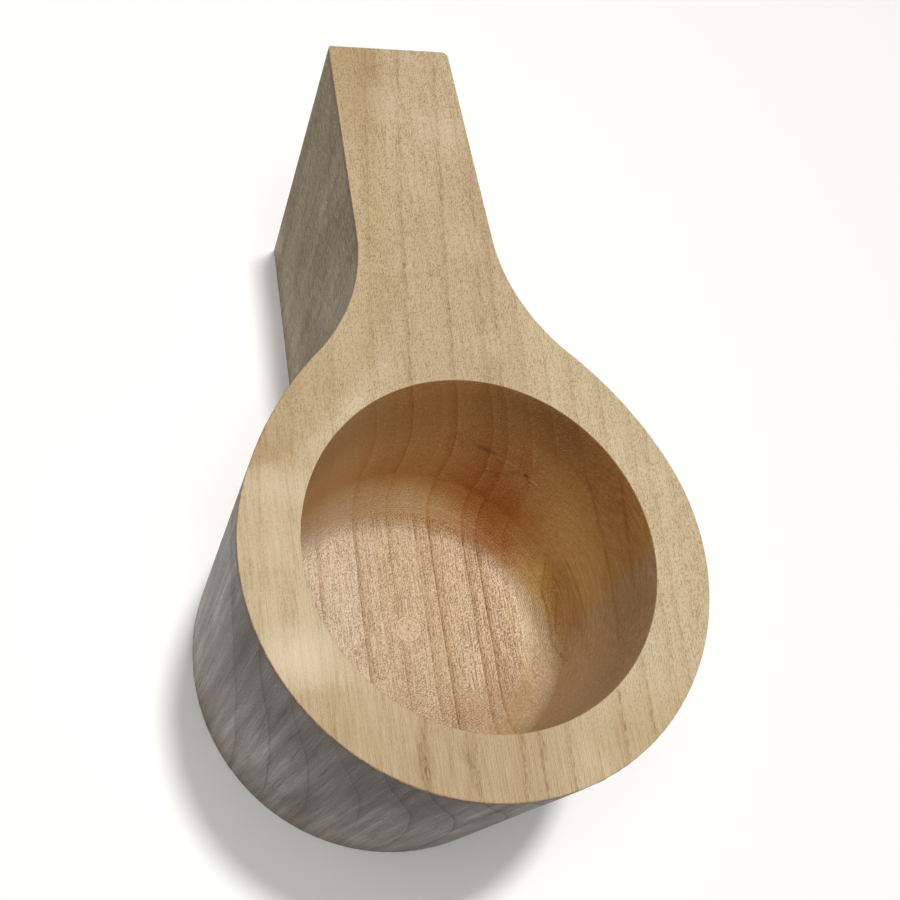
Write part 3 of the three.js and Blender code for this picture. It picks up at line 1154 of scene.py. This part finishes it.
for make_finish in (planed_top, bored_bowl, sawn_side):
    body.data.materials.append(make_finish())
for face in body.data.polygons:
    face.material_index = finish_number(face)
plug.data.materials.append(plug_end_grain())
print("finishes:", [m.name for m in bpy.data.materials])

# %% [markdown]
# ## Table and light
# A pale table, and a small lamp high above, a little towards the handle and to the right, so that those two
# walls of the bowl lie in shade and the floor is lit in a round patch. A wide soft lamp overhead fills the
# round corner of the bowl. The sky is pale at the horizon and dim above, so that the walls of the bowl are
# lit mostly by light thrown back from the wood, which makes them warm.

# %% Table
TABLE_SIZE = 1.6
TABLE_PAINT = {"Base Color": (0.95, 0.95, 0.95, 1), "Roughness": 0.9}

bpy.ops.object.select_all(action="DESELECT")
bpy.ops.mesh.primitive_plane_add(size=TABLE_SIZE, location=(0, 0, body_low.z))
table = bpy.context.object
table.name = "table"
table_finish = Finish(bpy.data.materials.new("table_paint"))
table_shader = table_finish.node("ShaderNodeBsdfPrincipled", None, TABLE_PAINT)
table_finish.node("ShaderNodeOutputMaterial", None, {"Surface": table_shader})
table.data.materials.append(table_finish.owner)

# %% Lamps
LAMP_COLOUR = (1, 0.985, 0.96)
LAMP_DISTANCE = 1.4
LAMPS = {
    "small_lamp": SimpleNamespace(towards=LIGHT_FROM, size=0.13, watts=12),
    "wide_lamp": SimpleNamespace(towards=Vector((-0.15, 0.18, 1)), size=1.1, watts=9),
}

for name, settings in LAMPS.items():
    towards = settings.towards.normalized()
    turn = towards.to_track_quat("Z", "Y").to_euler()
    bpy.ops.object.light_add(type="AREA", location=towards * LAMP_DISTANCE, rotation=turn)
    lamp = bpy.context.object
    lamp.name = name
    lamp.data.shape = "DISK"
    lamp.data.size = settings.size
    lamp.data.energy = settings.watts
    lamp.data.color = LAMP_COLOUR
    print(name, round(math.degrees(towards.angle((0, 0, 1)))), "degrees from upright")

# %% Sky
SKY_HORIZON = 0.8
SKY_ABOVE = 0.03
BAND_LOW, BAND_HIGH = 0.05, 0.45

sky = Finish(bpy.data.worlds.new("sky"))
direction = sky.node("ShaderNodeTexCoord", output="Generated")
climb = sky.node("ShaderNodeSeparateXYZ", None, {0: direction}, output="Z")
brightness = SKY_HORIZON + soft_step(climb, BAND_LOW, BAND_HIGH) * (SKY_ABOVE - SKY_HORIZON)
background = sky.node("ShaderNodeBackground", None, {"Color": (1, 1, 1, 1), "Strength": brightness})
sky.node("ShaderNodeOutputWorld", None, {"Surface": background})
bpy.context.scene.world = sky.owner
bpy.context.scene.view_settings.view_transform = "Standard"
print("sky from", SKY_HORIZON, "at the horizon to", SKY_ABOVE, "above")

# %% [markdown]
# ## Tie the pieces to the frame
# Both pieces move with the one body of the part and stand in for the imported nodes of the same shape.

# %% Tie to the frame
for piece, node, slot in ((body, "blank_body", "raw_hardwood"), (plug, "floor_plug", "plug_wood")):
    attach(piece, "root")
    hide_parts(node)
